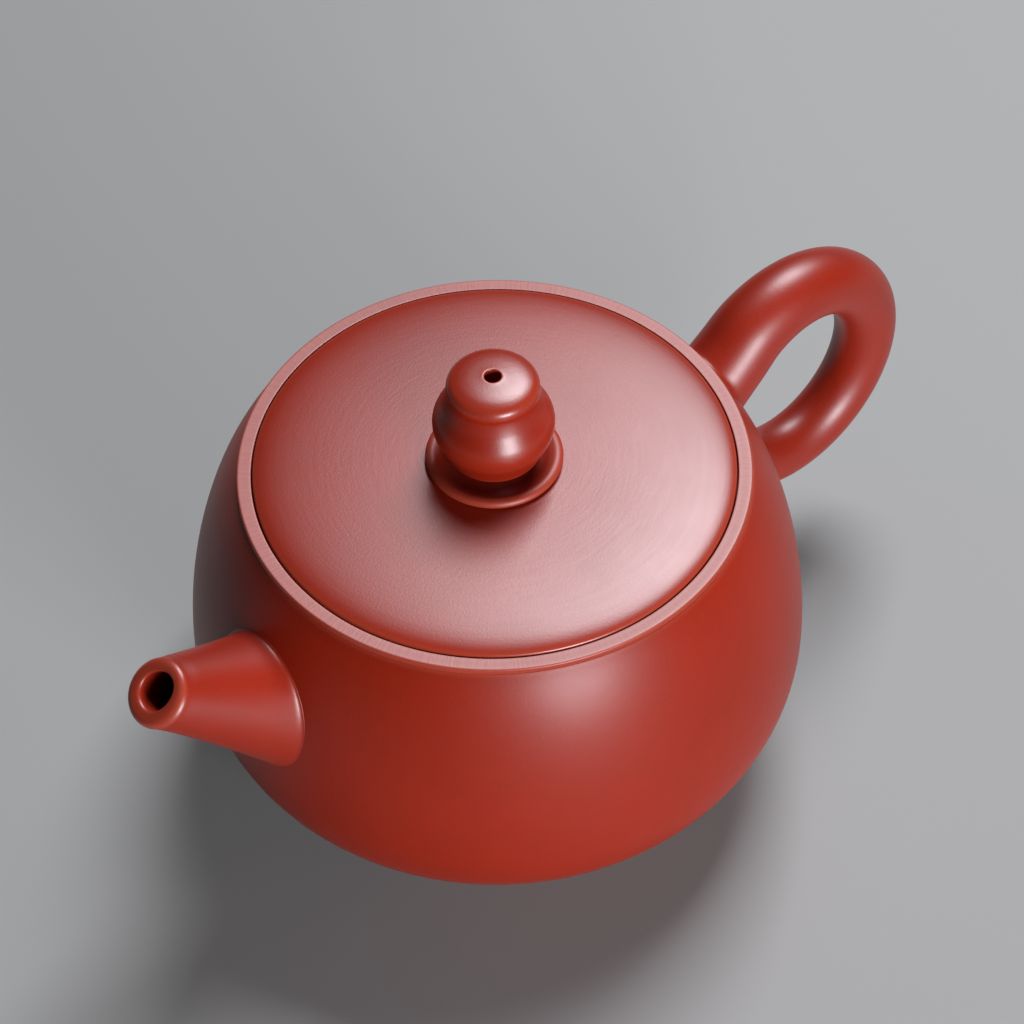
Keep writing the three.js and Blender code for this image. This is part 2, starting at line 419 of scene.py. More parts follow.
class TurningWheel:
    """Turns outlines about the pot's axis with one geometry tree."""

    still_radius: float = 5.0  # nearer the axis than this, the wobble fades out
    wobble_length: float = 24.0
    merge_distance: float = 0.002
    crease_angle: float = 38.0  # edges that bend more than this stay sharp

    def __init__(self, places: PotFrame) -> None:
        """Builds the tree once for all turned pieces."""
        self.places = places
        self.shaping = self._build_tree()

    def _build_tree(self) -> ShapingTree:
        """Makes the tree: a grid whose columns take the outline's points and whose rows go round.

        Returns:
            The finished tree.
        """
        sizes = {"Outline Points": "Int", "Steps": "Int"}
        sizes |= dict.fromkeys(("Axis", "Hand Wobble", "Wobble Scale", "Seed"), "Float")
        shaping = ShapingTree("turned_clay", "Outline", sizes)
        add, given = shaping.add, shaping.given
        columns = add(MATH, {"operation": "ADD"}, {0: given["Steps"], 1: 1.0})
        square = {"Size X": 1.0, "Size Y": 1.0}
        counts = {"Vertices X": columns, "Vertices Y": given["Outline Points"]}
        grid = add("GeometryNodeMeshGrid", inputs={**square, **counts})
        across = add(SPLIT, inputs={0: add("GeometryNodeInputPosition")}).outputs
        turn = add(MATH, {"operation": "MULTIPLY_ADD"}, {0: across["X"], 1: FULL_TURN, 2: FULL_TURN / 2})
        last = add(MATH, {"operation": "SUBTRACT"}, {0: given["Outline Points"], 1: 1.0})
        share = add(MATH, {"operation": "ADD"}, {0: across["Y"], 1: 0.5})
        scaled = add(MATH, {"operation": "MULTIPLY"}, {0: share, 1: last})
        index = add(MATH, {"operation": "ROUND"}, {0: scaled})
        own_place = add("GeometryNodeInputPosition")
        own_rub = add("GeometryNodeInputNamedAttribute", {"data_type": "FLOAT"}, {"Name": "rub"})
        point, rub = (
            add(
                "GeometryNodeSampleIndex",
                {"data_type": kind, "domain": "POINT"},
                {"Geometry": given["Outline"], "Value": value, "Index": index},
            )
            for kind, value in (("FLOAT_VECTOR", own_place), ("FLOAT", own_rub))
        )
        profile = add(SPLIT, inputs={0: point}).outputs
        cosine, sine = (add(MATH, {"operation": name}, {0: turn}) for name in ("COSINE", "SINE"))
        outward = add(COMBINE, inputs={"X": cosine, "Y": sine})
        level = add(VECTOR_MATH, {"operation": "SCALE"}, {0: outward, "Scale": profile["X"]})
        lifted = add(COMBINE, inputs={"Z": profile["Z"]})
        spun = add(VECTOR_MATH, {"operation": "ADD"}, {0: level, 1: lifted})
        noise = add(
            NOISE,
            {"noise_dimensions": "4D"},
            {"Vector": spun, "W": given["Seed"], "Scale": given["Wobble Scale"], "Detail": 1.0},
        )
        centred = add(MATH, {"operation": "SUBTRACT"}, {0: noise, 1: 0.5})
        near_axis = add(
            MATH,
            {"operation": "MULTIPLY", "use_clamp": True},
            {0: profile["X"], 1: 1 / (self.still_radius * MM)},
        )
        fade = add(MATH, {"operation": "MULTIPLY"}, {0: centred, 1: near_axis})
        wobble = add(MATH, {"operation": "MULTIPLY"}, {0: fade, 1: given["Hand Wobble"]})
        push = add(VECTOR_MATH, {"operation": "SCALE"}, {0: outward, "Scale": wobble})
        pushed = add(VECTOR_MATH, {"operation": "ADD"}, {0: spun, 1: push})
        beside = add(COMBINE, inputs={"X": given["Axis"]})
        final = add(VECTOR_MATH, {"operation": "ADD"}, {0: pushed, 1: beside})
        stored = add(
            "GeometryNodeStoreNamedAttribute",
            {"data_type": "FLOAT", "domain": "POINT"},
            {"Geometry": grid, "Name": "rub", "Value": rub},
        )
        moved = add("GeometryNodeSetPosition", inputs={"Geometry": stored, "Position": final})
        near = {"Geometry": moved, "Distance": self.merge_distance * MM}
        merged = add("GeometryNodeMergeByDistance", inputs=near)
        smooth = add("GeometryNodeSetShadeSmooth", inputs={"Geometry": merged})
        bend = add("GeometryNodeInputMeshEdgeAngle")
        hard = add(MATH, {"operation": "GREATER_THAN"}, {0: bend, 1: math.radians(self.crease_angle)})
        creased = add(
            "GeometryNodeSetShadeSmooth",
            {"domain": "EDGE"},
            {"Geometry": smooth, "Selection": hard, "Shade Smooth": False},
        )
        shaping.finish(creased)
        return shaping

    def turn(
        self,
        name: str,
        outline: Outline,
        clay: bpy.types.Material,
        seed: float,
        steps: int = 224,
        wobble: float = 0.05,
        centred: bool = False,
    ) -> bpy.types.Object:
        """Turns an outline to a closed piece.

        Args:
            name: Name of the piece.
            outline: Its outline, up the outside and down the inside.
            clay: Its finish.
            seed: Which wobble it gets.
            steps: Facets round it.
            wobble: How far hand work leaves it out of round, in millimetres.
            centred: Leaves the piece on the origin's axis, to be placed later.

        Returns:
            The piece as a plain mesh.
        """
        points = [(r * MM, 0.0, z * MM) for r, z in outline.points]
        piece = mesh_object(name, points, [], [(i, i + 1) for i in range(len(points) - 1)])
        write_rub(piece, outline.rub())
        values = {
            "Outline Points": len(points),
            "Steps": steps,
            "Axis": 0.0 if centred else self.places.axis * MM,
            "Hand Wobble": 2 * wobble * MM,
            "Wobble Scale": 1 / (self.wobble_length * MM),
            "Seed": seed,
            "Clay": clay,
        }
        self.shaping.shape(piece, values)
        return piece


# ---------------------------------------------------------------------------------------------
# Lofted pieces
# ---------------------------------------------------------------------------------------------


def loft(
    name: str,
    rings: np.ndarray,
    places: PotFrame,
    clay: bpy.types.Material,
    rub: np.ndarray | None = None,
    looped: bool = False,
) -> bpy.types.Object:
    """Skins closed rings of points to a closed piece.

    Args:
        name: Name of the piece.
        rings: Rings, points and their x, y and z in millimetres from the pot's axis.
        places: Where the pot's axis stands.
        clay: Its finish.
        rub: How much each ring's points are rubbed, or nothing.
        looped: True if the last ring joins the first, as in a tube wall; else both ends are capped.

    Returns:
        The piece, its faces turned outwards.
    """
    count, around = rings.shape[:2]
    flat = rings.reshape(-1, 3)
    vertices = [places.place(*p) for p in flat]
    worn = np.zeros(len(flat)) if rub is None else rub.reshape(-1)
    faces = []
    for i in range(count if looped else count - 1):
        here, there = i * around, (i + 1) % count * around
        for j in range(around):
            k = (j + 1) % around
            faces.append((here + j, here + k, there + k, there + j))
    if not looped:
        for base in (0, (count - 1) * around):
            middle = len(vertices)
            ring = np.array(vertices[base : base + around])
            vertices.append(tuple(ring.mean(axis=0)))
            worn = np.append(worn, 0)
            faces += [(base + j, base + (j + 1) % around, middle) for j in range(around)]
    piece = mesh_object(name, vertices, faces)
    work = bmesh.new()
    work.from_mesh(piece.data)
    bmesh.ops.recalc_face_normals(work, faces=work.faces)
    work.to_mesh(piece.data)
    work.free()
    write_rub(piece, worn)
    piece.data.materials.append(clay)
    return piece


@dataclass
class SlipJoint:
    """Lands a tube on the belly with the small fillet that a potter draws with slip."""

    belly: Outline
    up_the_tube: float = 1.2
    along_the_belly: float = 0.5
    steps: int = 9
    sink: float = 0.45
    tuck: float = 0.3
    slope_step: float = 0.2

    def height_over(self, points: np.ndarray) -> np.ndarray:
        """How far points stand outside the belly, measured level."""
        return np.hypot(points[..., 0], points[..., 1]) - self.belly.radius_at(points[..., 2])

    def normal(self, point: np.ndarray) -> np.ndarray:
        """Finds the belly's outward direction.

        Args:
            point: Point on the belly.

        Returns:
            A vector of length 1.
        """
        step = self.slope_step
        low, high = self.belly.radius_at(np.array([point[2] - step, point[2] + step]))
        level = point[:2] / np.linalg.norm(point[:2])
        normal = np.array([level[0], level[1], -(high - low) / (2 * step)])
        return normal / np.linalg.norm(normal)

    def on_belly(self, point: np.ndarray) -> np.ndarray:
        """Moves a point level onto the belly."""
        scale = self.belly.radius_at(point[2]) / np.hypot(point[0], point[1])
        return np.array([point[0] * scale, point[1] * scale, point[2]])

    def meeting(self, line: np.ndarray, sunk: float = 0.0) -> tuple[float, np.ndarray]:
        """Finds where a line running towards the pot goes under the belly's surface.

        Args:
            line: Points of the line, from outside to inside.
            sunk: Depth under the surface that counts.

        Returns:
            Distance along the line and the point.
        """
        over = self.height_over(line) + sunk
        i = int(np.argmax(over < 0))
        share = over[i - 1] / (over[i - 1] - over[i])
        steps = np.linalg.norm(np.diff(line, axis=0), axis=1)
        run = float(steps[: i - 1].sum() + share * steps[i - 1])
        return run, line[i - 1] + share * (line[i] - line[i - 1])

    def middle(self, lines: np.ndarray) -> np.ndarray:
        """Middle of the joint of a tube's lines."""
        return np.mean([self.meeting(line)[1] for line in lines], axis=0)

    def fillet(self, line: np.ndarray, middle: np.ndarray) -> tuple[float, np.ndarray]:
        """Draws the fillet at the end of one line of the tube.

        Args:
            line: Points of the line, from outside to inside.
            middle: Middle of the joint.

        Returns:
            Distance along the line at which the fillet starts, and its points down into the wall.
        """
        run, crease = self.meeting(line)
        normal = self.normal(crease)
        away = crease - middle
        away -= away.dot(normal) * normal
        away /= np.linalg.norm(away)
        foot = self.on_belly(crease + away * self.along_the_belly)
        start = run - self.up_the_tube
        head = along(line, np.array([start]))[0]
        t = np.linspace(0, 1, self.steps)[1:, None]
        bend = head * (1 - t) ** 2 + 2 * crease * t * (1 - t) + foot * t**2
        under = foot - self.normal(foot) * self.sink - away * self.tuck
        return start, np.vstack([bend, under])


# ---------------------------------------------------------------------------------------------
# Finishes
# ---------------------------------------------------------------------------------------------


class Tooling(Enum):
    """The way that the last tool ran over a clay surface."""

    RINGS = "round the axis, as a wheel or a horn rib leaves it"
    CHATTER = "across the ring, as a trimming knife chatters"


@dataclass(frozen=True)
class RedClay:
    """Unglazed iron-red stoneware of fine grit (zisha), fired to a dense, faintly sheeny body.

    The grit gives a close matt grain. Burnishing with a horn rib lays a satin sheen over it, which
    scatters light in broad dusty highlights. Uneven iron gives clouds of deeper and brighter red.
    """

    name: str
    centre: float
    tooling: Tooling = Tooling.RINGS
    body: str = "821b06"
    deep: str = "741604"
    pale: str = "9e4431"
    sheen_paint: str = ""  # pale colour painted on upward-facing faces as a painted sheen, the light that a trimmed, unburnished level face catches
    roughness: float = 0.42
    cloud_sheen: float = 0.012  # how far the iron clouds move the roughness either way
    rub_sheen: float = 0.06  # how far rubbed edges are smoother
    rub_fade: float = 0.5  # how far rubbed edges are paler
    gloss: float = 0.4
    ior: float = 1.5
    grain: float = 0.3  # such clay's grit is usually finer, and is drawn coarser so that it shows
    grain_height: float = 0.010
    cloud: float = 13.0
    mark_spacing: float = 0.9  # as coarse as it takes to show; the real spacing isn't known
    mark_height: float = 0.006
    mark_sheen: float = 0.04
    ring_turns: float = 4.0  # how often a ring's marks change on the way round
    chatter_radius: float = 36.0
    chatter_length: float = 4.0

    def material(self) -> bpy.types.Material:
        """Builds the finish.

        Returns:
            A material that reads Object coordinates centred on the pot's axis.
        """
        material = bpy.data.materials.new(self.name)
        material.use_nodes = True
        material.node_tree.nodes.clear()
        add = partial(add_node, material.node_tree)
        place = add("ShaderNodeTexCoord").outputs["Object"]
        centred = add("ShaderNodeMapping", inputs={"Vector": place, "Location": (-self.centre * MM, 0, 0)})
        noise = {"Vector": centred, "Roughness": 0.55}
        clouds, grain = (
            add(NOISE, inputs={**noise, "Scale": 1 / (size * MM), "Detail": detail})
            for size, detail in ((self.cloud, 3.0), (self.grain, 2.0))
        )
        marks = self._marks(add, centred)
        rub = add("ShaderNodeAttribute", {"attribute_name": "rub"}).outputs["Fac"]
        middle = self.roughness - self.mark_sheen / 2
        ends = {"To Min": middle - self.cloud_sheen, "To Max": middle + self.cloud_sheen}
        sheen = add(MAP_RANGE, inputs={"Value": clouds, "From Min": 0.3, "From Max": 0.7, **ends})
        polished = add(MATH, {"operation": "MULTIPLY_ADD"}, {0: rub, 1: -self.rub_sheen, 2: sheen})
        streaked = add(MATH, {"operation": "MULTIPLY_ADD"}, {0: marks, 1: self.mark_sheen, 2: polished})
        tooling = {"Height": marks, "Distance": self.mark_height * MM, "Strength": 1.0}
        tooled = add(BUMP, inputs=tooling)
        grit = {"Height": grain, "Distance": self.grain_height * MM, "Strength": 1.0, "Normal": tooled}
        gritty = add(BUMP, inputs=grit)
        shader = add(
            "ShaderNodeBsdfPrincipled",
            inputs={
                "Base Color": self._colour(add, clouds, grain, rub, marks),
                "Roughness": streaked,
                "IOR": self.ior,
                "Specular IOR Level": self.gloss,
                "Normal": gritty,
            },
        )
        add("ShaderNodeOutputMaterial", inputs={"Surface": shader})
        return material

    def _colour(
        self,
        add: Adder,
        clouds: bpy.types.Node,
        grain: bpy.types.Node,
        rub: bpy.types.NodeSocket,
        marks: bpy.types.Node,
    ) -> bpy.types.NodeSocket:
        """Mixes the clay's reds: iron clouds, pale grit, edges paler by rubbing, and a painted sheen on
        level faces.

        Args:
            add: Adds a node to the finish.
            clouds: Slow noise.
            grain: Fine noise.
            rub: How much the surface is rubbed.
            marks: Height of the tool's marks.

        Returns:
            The colour.
        """
        spread = add(MAP_RANGE, inputs={"Value": clouds, "From Min": 0.25, "From Max": 0.75, "To Max": 0.5})
        grit = add(MAP_RANGE, inputs={"Value": grain, "From Min": 0.6, "From Max": 0.75, "To Max": 0.2})
        worn = add(MATH, {"operation": "MULTIPLY"}, {0: rub, 1: self.rub_fade})
        layers = [(spread, self.deep), (grit, self.pale), (worn, self.pale)]
        if self.sheen_paint:
            # painted sheen: faces that look upwards are mixed paler, standing in for the light they catch
            layers.append((self._painted_sheen(add, marks), self.sheen_paint))
        colour = srgb(self.body)
        for share, layer in layers:
            mixed = add("ShaderNodeMix", {"data_type": "RGBA"}, {0: share, 6: colour, 7: srgb(layer)})
            colour = mixed.outputs[2]
        return colour

    def _painted_sheen(self, add: Adder, marks: bpy.types.Node) -> bpy.types.Node:
        """Tells where the painted sheen goes: on faces that look upwards, broken by the tool's marks.

        Args:
            add: Adds a node to the finish.
            marks: Height of the tool's marks.

        Returns:
            The painted sheen's cover, 0 to 1.
        """
        facing = add("ShaderNodeNewGeometry").outputs["Normal"]
        upward = add(SPLIT, inputs={0: facing}).outputs["Z"]
        # painted sheen mask: the more a face looks upwards, the paler it is painted
        level = add(MAP_RANGE, inputs={"Value": upward, "From Min": 0.75, "From Max": 0.98})
        broken = add(MAP_RANGE, inputs={"Value": marks, "From Min": 0.35, "From Max": 0.6, "To Min": 0.75})
        return add(MATH, {"operation": "MULTIPLY"}, {0: level, 1: broken})

    def _marks(self, add: Adder, centred: bpy.types.Node) -> bpy.types.Node:
        """Draws the marks of the last tool as noise stretched along the tool's way.

        Args:
            add: Adds a node to the finish.
            centred: Coordinates centred on the pot's axis.

        Returns:
            A height from 0 to 1.
        """
        parts = add(SPLIT, inputs={0: centred}).outputs
        flat = add(COMBINE, inputs={"X": parts["X"], "Y": parts["Y"]})
        outward = add(VECTOR_MATH, {"operation": "NORMALIZE"}, {0: flat})
        radius = add(VECTOR_MATH, {"operation": "LENGTH"}, {0: flat}).outputs[1]
        rise = add(MATH, {"operation": "ADD"}, {0: radius, 1: parts["Z"]})
        turns, steps = self.ring_turns, 1 / (self.mark_spacing * MM)
        if self.tooling is Tooling.CHATTER:
            turns, steps = self.chatter_radius / self.mark_spacing, 1 / (self.chatter_length * MM)
        level = add(VECTOR_MATH, {"operation": "SCALE"}, {0: outward, "Scale": turns})
        climb = add(MATH, {"operation": "MULTIPLY"}, {0: rise, 1: steps})
        lifted = add(COMBINE, inputs={"Z": climb})
        drawn = add(VECTOR_MATH, {"operation": "ADD"}, {0: level, 1: lifted})
        return add(NOISE, inputs={"Vector": drawn, "Scale": 1.0, "Detail": 2.0, "Roughness": 0.5})


@dataclass(frozen=True)
class Clays:
    """The finishes of the whole pot."""

    belly: bpy.types.Material
    hidden: bpy.types.Material
    rim: bpy.types.Material
    lid: bpy.types.Material
    knob: bpy.types.Material
    dish: bpy.types.Material
    limbs: bpy.types.Material

    @classmethod
    def mixed(cls, axis: float) -> "Clays":
        """Makes all the finishes.

        Args:
            axis: Where the pot's axis stands, in millimetres.

        Returns:
            The finishes.
        """
        lid = RedClay("lid_clay", axis, roughness=0.36, gloss=0.52, mark_spacing=0.6, mark_height=0.007)
        rim = RedClay(
            "rim_clay",
            axis,
            Tooling.CHATTER,
            # painted sheen on the rim's flat top, a paler colour on its level faces
            sheen_paint="96534c",
            roughness=0.46,
            gloss=0.43,
            mark_spacing=0.3,
            mark_height=0.015,
        )
        return cls(
            belly=RedClay("belly_clay", axis, roughness=0.4, gloss=0.28).material(),
            hidden=RedClay("inside_clay", axis, roughness=0.6, mark_height=0.02).material(),
            rim=rim.material(),
            lid=lid.material(),
            knob=RedClay("knob_clay", axis, roughness=0.34, gloss=0.5).material(),
            dish=RedClay("dish_clay", axis, roughness=0.5, gloss=0.4).material(),
            limbs=RedClay("limb_clay", axis, roughness=0.4, gloss=0.52).material(),
        )


# ---------------------------------------------------------------------------------------------
# The pot
# ---------------------------------------------------------------------------------------------


@dataclass
class Belly:
    """The wall, base, foot, ledge and mouth ring of the pot."""

    places: PotFrame
    wheel: TurningWheel
    clays: Clays
    radius: float = 45.0
    height: float = 23.4
    base_radius: float = 27.95
    rim_radius: float = 36.5
    wall: float = 3.0
    wall_steps: int = 60
    top_rounding: float = 0.05
    top_arc_end: float = 95.0  # degrees, just past straight up
    shoulder_lap: float = 1.0  # how far the wall's clay is drawn over the shoulder disc
    lap_foot: float = 0.6  # height over the wall's top at which that lap ends inside
    base_lap: float = 3.0
    slip: float = 0.05
    foot_radius: float = 27.4
    foot_width: float = 3.2
    foot_ease: float = 0.5
    foot_fillet: float = 0.35
    seat_radius: float = 29.9
    mouth_radius: float = 34.45

    def outer(self) -> Outline:
        """Draws the belly's outer line from its base up to the mouth ring.

        Returns:
            The line.
        """
        at, wide, middle = self.places, self.radius, self.height
        line = Outline().start(self.base_radius, at.foot_height)
        line.curve((36.8, at.foot_height + 5.5), (wide, middle - 11.8), (wide, middle), 70)
        line.curve((wide, middle + 11.3), (41.6, at.rim_height - 7.6), (self.rim_radius, at.ring_base), 76)
        return line

    def build(self) -> list[Piece]:
        """Makes the pieces.

        Returns:
            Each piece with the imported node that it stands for.
        """
        return [
            (self._wall(), "body_wall"),
            (self._base(), "base_disc"),
            (self._foot(), "foot_ring"),
            (self._ledge(), "seat_ring"),
            (self._ring(), "mouth_ring"),
        ]

    def _wall(self) -> bpy.types.Object:
        """Makes the beaten wall, its clay drawn over base and shoulder so that no joint shows.

        Returns:
            The wall, not yet cut for the spout.
        """
        at = self.places
        outer = self.outer()
        rounding, clear = self.top_rounding, 0.1
        top = at.ring_base - rounding
        outline = Outline([p for p in outer.points if p[1] < top - clear])
        outline.points.append((outer.radius_at(top), top))
        (r0, z0), (r1, z1) = outline.points[-2:]
        lean = math.degrees(math.atan2(r0 - r1, z1 - z0))
        turn = math.radians(lean)
        middle = (r1 - rounding * math.cos(turn), z1 - rounding * math.sin(turn))
        outline.arc(middle, rounding, lean, self.top_arc_end, steps=5)
        outline.line(self.rim_radius - self.shoulder_lap, at.ring_base - 0.01)
        outline.line(self.rim_radius - self.shoulder_lap, at.wall_top + self.lap_foot)
        inner = outer.inset(self.wall)
        for height in np.linspace(at.wall_top, at.floor_top, self.wall_steps).tolist():
            outline.points.append((inner.radius_at(height), height))
        outline.line(self.base_radius - self.base_lap, at.floor_top)
        outline.line(self.base_radius - self.base_lap, at.foot_height)
        outline.close()
        return self.wheel.turn("belly_wall", outline, self.clays.belly, 3.1, wobble=0.06)

    def _base(self) -> bpy.types.Object:
        """Makes the disc under the tea.

        Returns:
            The disc.
        """
        at = self.places
        edge = self.base_radius - self.base_lap - self.slip
        outline = Outline(spacing=1.2).start(0, at.foot_height)
        outline.line(edge, at.foot_height).line(edge, at.floor_top).line(0, at.floor_top)
        return self.wheel.turn("base_disc_clay", outline, self.clays.hidden, 4.2, steps=160)

    def _foot(self) -> bpy.types.Object:
        """Makes the low ring that the pot stands on, with eased edges and a fillet above.

        Returns:
            The ring.
        """
        top = self.places.foot_height
        outer, ease, fillet = self.foot_radius, self.foot_ease, self.foot_fillet
        inner = outer - self.foot_width
        outline = Outline().start(inner, top)
        outline.line(inner, ease)
        outline.arc((inner + ease, ease), ease, 180, 270, steps=5)
        outline.line(outer - ease, 0)
        outline.arc((outer - ease, ease), ease, 270, 360, steps=5)
        outline.line(outer, top - fillet)
        outline.arc((outer + fillet, top - fillet), fillet, 180, 100, steps=4)
        outline.close()
        return self.wheel.turn("foot_ring_clay", outline, self.clays.belly, 5.3, steps=192, wobble=0.03)

    def _ledge(self) -> bpy.types.Object:
        """Makes the ledge inside the mouth that the lid lies on.

        Returns:
            The ledge.
        """
        at = self.places
        outer = self.rim_radius - self.shoulder_lap - self.slip
        under, over = 0.4, 0.3
        outline = Outline().start(self.seat_radius, at.wall_top + under)
        outline.arc((self.seat_radius + under, at.wall_top + under), under, 180, 270, steps=4)
        outline.line(outer, at.wall_top).line(outer, at.ring_base)
        outline.line(self.mouth_radius, at.ring_base).line(self.mouth_radius, at.seat_height)
        outline.line(self.seat_radius + over, at.seat_height)
        outline.arc((self.seat_radius + over, at.seat_height - over), over, 90, 180, steps=4)
        outline.close()
        return self.wheel.turn("seat_ledge_clay", outline, self.clays.hidden, 6.4, steps=192)

    def _ring(self) -> bpy.types.Object:
        """Makes the flat-topped ring round the mouth, with a tooled crease under its side.

        Returns:
            The ring.
        """
        at, outer, mouth = self.places, self.rim_radius, self.mouth_radius
        under, outside, inside = 0.03, 0.28, 0.12
        outline = Outline(spacing=0.25).start(mouth, at.ring_base)
        outline.line(outer - 0.25, at.ring_base)
        outline.arc((outer - under, at.ring_base + under), under, 250, 360, steps=4)
        outline.line(outer, at.rim_height - outside)
        outline.arc((outer - outside, at.rim_height - outside), outside, 0, 90, steps=10)
        outline.line(mouth + inside, at.rim_height)
        outline.arc((mouth + inside, at.rim_height - inside), inside, 90, 180, steps=5)
        outline.close()
        return self.wheel.turn("mouth_ring_clay", outline, self.clays.rim, 7.5, steps=288, wobble=0.03)


@dataclass
class Spout:
    """The short straight spout and the pierced dome at its root."""

    places: PotFrame
    wheel: TurningWheel
    clays: Clays
    belly: Outline
    slope: float = 39.3
    drop: float = 18.85
    wall: float = 3.0
    length: float = 24.4
    root_radius: float = 9.9
    waist_radius: float = 7.0
    waist_share: float = 0.45  # how far up its length the waist lies
    taper_steps: int = 60
    skin_steps: int = 44
    tip_radius: float = 4.9
    tip_run: float = 1.5
    lip: float = 1.1
    lip_rub: float = 0.9
    hole_edge: float = 0.5
    out_of_round: float = 0.045
    bore_root: float = 7.0
    bore_tip: float = 2.7
    bore_run: float = 4.0
    bore_rise: float = 0.5
    bore_slip: float = 0.05
    bore_start: float = 0.4  # where the bore's first ring lies below the lip's last
    bore_samples: int = 120
    bore_steps: int = 24
    mouth_lean: float = 11.0
    around: int = 144
    way_low: float = -8.0
    way_high: float = 7.0
    dome_rise: float = 3.4
    dome_shell: float = 1.3
    dome_drop: float = -1.0
    dome_rim: float = 0.8
    dome_slip: float = 0.1
    dome_steps: int = 14
    hole_radius: float = 0.6
    inner_ring: float = 2.5
    inner_holes: int = 6
    outer_ring: float = 4.6
    outer_holes: int = 10
    pin_sides: int = 16
    pin_length: float = 20.0

    def axes(self) -> Matrix:
        """Places the spout's own frame, Z along its bore, at the inner wall.

        Returns:
            Turn and place, in millimetres.
        """
        height = self.places.rim_height - self.drop
        reach = self.belly.inset(self.wall).radius_at(height)
        tilt = Matrix.Rotation(math.radians(self.slope - 90), 4, "Y")
        return Matrix.Translation((-reach, 0, height)) @ tilt

    def build(self) -> list[Piece]:
        """Makes the pieces.

        Returns:
            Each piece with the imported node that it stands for.
        """
        return [(self._spout(), "spout"), (self._strainer(), "strainer")]

    def cut_way(self, wall: bpy.types.Object) -> None:
        """Cuts the way into the spout.

        Args:
            wall: The belly's wall.
        """
        outline = Outline(spacing=2.0).start(0, self.way_low).line(self.bore_root, self.way_low)
        outline.line(self.bore_root, self.way_high).line(0, self.way_high)
        cutter = self.wheel.turn("way", outline, self.clays.belly, 1.0, steps=72, wobble=0, centred=True)
        self._onto_slope(cutter)
        cut = wall.modifiers.new("way", "BOOLEAN")
        cut.operation = "DIFFERENCE"
        cut.solver = "EXACT"
        cut.object = cutter
        bake_modifiers(wall)
        bpy.data.objects.remove(cutter)

    def _onto_slope(self, piece: bpy.types.Object) -> None:
        """Moves a piece made along Z onto the spout's slope, in its mesh.

        Args:
            piece: Piece to move.
        """
        to_metres = Matrix.Scale(MM, 4)
        shift = Matrix.Translation((self.places.axis, 0, 0))
        piece.data.transform(to_metres @ shift @ self.axes() @ to_metres.inverted())

    def _turned_lines(self, profile: np.ndarray, hole: float = 0.0) -> np.ndarray:
        """Turns a profile round the spout's axis, leans its mouth and lifts the bore's end.

        Args:
            profile: Radius and distance along the axis of each point.
            hole: How far the opening is out of round, as a share of its radius.

        Returns:
            Lines, points and their x, y and z.
        """
        turn = np.linspace(0, FULL_TURN, self.around, endpoint=False)[:, None]
        uneven = 1 + hole * (np.cos(2 * turn + 0.5) + 0.6 * np.cos(3 * turn + 1.1))
        radius = profile[None, :, 0] * uneven
        height = np.broadcast_to(profile[None, :, 1], radius.shape)
        across = radius * np.cos(turn)
        near_mouth = np.clip((height - self.length + self.bore_run) / self.bore_run, 0, None)
        inward = np.clip((self.tip_radius - radius) / (self.tip_radius - self.bore_tip), 0, None)
        height = height - near_mouth * across * math.tan(math.radians(self.mouth_lean))
        across = across + near_mouth * inward * self.bore_rise
        local = np.stack([across, radius * np.sin(turn), height], axis=-1)
        axes = np.array(self.axes())
        return local @ axes[:3, :3].T + axes[:3, 3]

    def _outside(self, joint: SlipJoint) -> np.ndarray:
        """Draws the outer skin from under the lip down into the belly's wall.

        Args:
            joint: How the spout lands on the belly.

        Returns:
            Rings, points and their x, y and z.
        """
        t = np.linspace(0, 1, self.taper_steps)[:, None]
        root = np.array([self.root_radius, 0])
        waist = np.array([self.waist_radius, self.length * self.waist_share])
        tip = np.array([self.tip_radius, self.length - self.tip_run])
        taper = root * (1 - t) ** 2 + 2 * waist * t * (1 - t) + tip * t**2
        lines = self._turned_lines(taper[::-1])
        middle = joint.middle(lines)
        skins = []
        for line in lines:
            start, bend = joint.fillet(line, middle)
            skins.append(np.vstack([along(line, np.linspace(0, start, self.skin_steps)), bend]))
        return np.array(skins).transpose(1, 0, 2)

    def _lip(self) -> np.ndarray:
        """Rounds the lip, from a true circle outside to a slightly uneven hole.

        Returns:
            Rings, points and their x, y and z.
        """
        outline = Outline().start(self.tip_radius, self.length - self.lip)
        outline.arc((self.tip_radius - self.lip, self.length - self.lip), self.lip, 8, 90, steps=9)
        hole = (self.bore_tip + self.hole_edge, self.length - self.hole_edge)
        outline.arc(hole, self.hole_edge, 90, 172, steps=5)
        profile = np.array(outline.points[1:])
        share = np.linspace(0, 1, len(profile))[:, None, None]
        round_lip = self._turned_lines(profile).transpose(1, 0, 2)
        uneven_lip = self._turned_lines(profile, self.out_of_round).transpose(1, 0, 2)
        return round_lip * (1 - share) + uneven_lip * share

    def _bore(self, joint: SlipJoint) -> np.ndarray:
        """Draws the bore from the lip down into the belly's wall.

        Args:
            joint: How the spout lands on the belly.

        Returns:
            Rings, points and their x, y and z.
        """
        wide = self.bore_root - self.bore_slip
        corners = [
            [self.bore_tip, self.length - self.hole_edge],
            [self.bore_tip, self.length - self.bore_run],
            [wide, self.bore_run],
            [wide, 0],
        ]
        profile = along(np.array(corners), np.linspace(0, self.length, self.bore_samples))
        skins = []
        for line in self._turned_lines(profile):
            end, _ = joint.meeting(line, sunk=joint.sink)
            skins.append(along(line, np.linspace(self.bore_start, end, self.bore_steps)))
        return np.array(skins).transpose(1, 0, 2)

